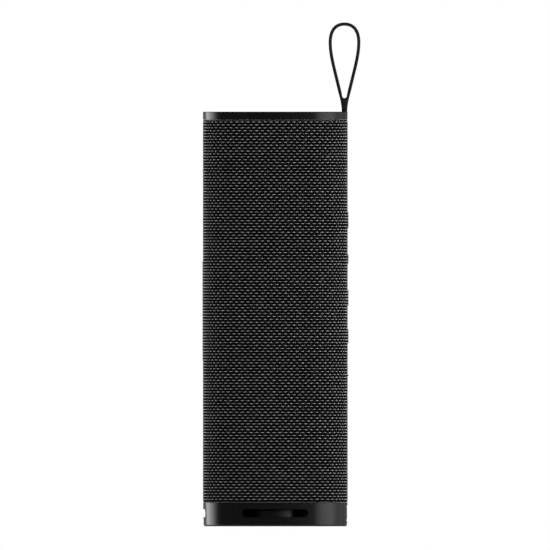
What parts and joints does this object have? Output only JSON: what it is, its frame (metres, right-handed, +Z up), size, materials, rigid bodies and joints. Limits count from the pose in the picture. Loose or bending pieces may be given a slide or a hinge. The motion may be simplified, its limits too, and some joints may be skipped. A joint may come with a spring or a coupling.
{
  "type": "shower speaker",
  "caption": "Upright square-column wireless shower speaker with woven fabric sides, raised keys, a rubber loop strap, vented base and sealed drivers.",
  "frame": {"origin": "middle of the foot pad's underside, on the floor", "axes": "+Z up through the body to the strap; +X out of the face with the keys and the strap; -Y out of a plain face with a vent slot, the side seen in the picture"},
  "size_m": [0.0746, 0.0684, 0.2382],
  "materials": {
    "gloss_black": "polished",
    "strap_rubber": "satin",
    "woven_fabric": "plain weave, grey on black",
    "matte_black": "matte",
    "enclosure_plastic": "matte",
    "badge_metal": "satin",
    "key_plastic": "satin",
    "bright_steel": "bright",
    "dark_steel": "black oxide",
    "seal_rubber": "matte",
    "board_green": "solder mask",
    "chip_black": "matte",
    "cell_wrap": "shrink wrap",
    "wire_sleeve": "satin",
    "ribbon_film": "satin",
    "roll_rubber": "satin",
    "radiator_face": "satin",
    "basket_metal": "satin",
    "zinc_steel": "zinc plated",
    "magnet_grey": "nickel plated",
    "copper": "enamelled copper wire",
    "cone_black": "matte",
    "spider_cloth": "resin-treated cloth"
  },
  "bodies": {
    "housing": {"top_cap": "gloss_black", "base_shell": "gloss_black", "base_plate": "gloss_black", "foot_pad": "strap_rubber", "fabric_sleeve": "woven_fabric", "grille_frame": "matte_black", "keypad_frame": "matte_black", "battery_cradle": "matte_black", "port_housing": "matte_black", "enclosure_tube": "enclosure_plastic", "lower_end_plate": "enclosure_plastic", "upper_end_plate": "enclosure_plastic", "badge_plate": "badge_metal", "strap_pin": "bright_steel", "cover_pin": "bright_steel", "switch_domes": "bright_steel", "battery_tabs": "bright_steel", "usb_socket": "bright_steel", "base_screws": "dark_steel", "upper_plate_screws": "dark_steel", "driver_screws": "dark_steel", "board_screws": "dark_steel", "lower_gasket": "seal_rubber", "upper_gasket": "seal_rubber", "button_board": "board_green", "port_board": "board_green", "main_board": "board_green", "board_parts": "chip_black", "battery_cells": "cell_wrap", "wiring_leads": "wire_sleeve", "ribbon_cable": "ribbon_film", "lower_radiator_frame": "matte_black", "lower_radiator_surround": "roll_rubber", "lower_driver_surround": "roll_rubber", "lower_driver_basket": "basket_metal", "lower_driver_yoke": "zinc_steel", "lower_driver_pole_plate": "zinc_steel", "lower_driver_magnet": "magnet_grey", "lower_driver_spider": "spider_cloth", "upper_radiator_frame": "matte_black", "upper_radiator_surround": "roll_rubber", "upper_driver_surround": "roll_rubber", "upper_driver_basket": "basket_metal", "upper_driver_yoke": "zinc_steel", "upper_driver_pole_plate": "zinc_steel", "upper_driver_magnet": "magnet_grey", "upper_driver_spider": "spider_cloth"},
    "strap": {"strap": "strap_rubber"},
    "port_cover": {"port_cover": "strap_rubber"},
    "key_power": {"key_power": "key_plastic"},
    "key_link": {"key_link": "key_plastic"},
    "key_play": {"key_play": "key_plastic"},
    "key_volume_up": {"key_volume_up": "key_plastic"},
    "key_volume_down": {"key_volume_down": "key_plastic"},
    "lower_cone": {"lower_driver_cone": "cone_black", "lower_driver_coil": "copper"},
    "upper_cone": {"upper_driver_cone": "cone_black", "upper_driver_coil": "copper"},
    "lower_radiator": {"lower_radiator_plate": "radiator_face"},
    "upper_radiator": {"upper_radiator_plate": "radiator_face"}
  },
  "joints": [
    {"name": "strap_pivot", "type": "hinge", "parent": "housing", "child": "strap", "pos_m": [0.0327, 0, 0.1942], "axis": [0, 1, 0], "range_deg": [-40, 90]},
    {"name": "port_cover_hinge", "type": "hinge", "parent": "housing", "child": "port_cover", "pos_m": [0.03275, 0.00995, 0.0062], "axis": [0, 0, 1], "range_deg": [0, 95]},
    {"name": "key_power_press", "type": "slide", "parent": "housing", "child": "key_power", "axis": [-1, 0, 0], "range_m": [0, 0.0003], "stiffness_N_per_m": 6000, "springref_m": -0.00005, "deforming": ["switch_domes"]},
    {"name": "key_link_press", "type": "slide", "parent": "housing", "child": "key_link", "axis": [-1, 0, 0], "range_m": [0, 0.0003], "stiffness_N_per_m": 6000, "springref_m": -0.00005, "deforming": ["switch_domes"]},
    {"name": "key_play_press", "type": "slide", "parent": "housing", "child": "key_play", "axis": [-1, 0, 0], "range_m": [0, 0.0003], "stiffness_N_per_m": 6000, "springref_m": -0.00005, "deforming": ["switch_domes"]},
    {"name": "key_volume_up_press", "type": "slide", "parent": "housing", "child": "key_volume_up", "axis": [-1, 0, 0], "range_m": [0, 0.0003], "stiffness_N_per_m": 6000, "springref_m": -0.00005, "deforming": ["switch_domes"]},
    {"name": "key_volume_down_press", "type": "slide", "parent": "housing", "child": "key_volume_down", "axis": [-1, 0, 0], "range_m": [0, 0.0003], "stiffness_N_per_m": 6000, "springref_m": -0.00005, "deforming": ["switch_domes"]},
    {"name": "lower_cone_travel", "type": "slide", "parent": "housing", "child": "lower_cone", "axis": [-1, 0, 0], "range_m": [-0.001, 0.001], "stiffness_N_per_m": 1500, "deforming": ["lower_driver_surround", "lower_driver_spider"]},
    {"name": "lower_radiator_travel", "type": "slide", "parent": "housing", "child": "lower_radiator", "axis": [0, 0, -1], "range_m": [-0.0015, 0.0015], "stiffness_N_per_m": 900, "deforming": ["lower_radiator_surround"]},
    {"name": "upper_cone_travel", "type": "slide", "parent": "housing", "child": "upper_cone", "axis": [-1, 0, 0], "range_m": [-0.001, 0.001], "stiffness_N_per_m": 1500, "deforming": ["upper_driver_surround", "upper_driver_spider"]},
    {"name": "upper_radiator_travel", "type": "slide", "parent": "housing", "child": "upper_radiator", "axis": [0, 0, 1], "range_m": [-0.0015, 0.0015], "stiffness_N_per_m": 900, "deforming": ["upper_radiator_surround"]}
  ]
}
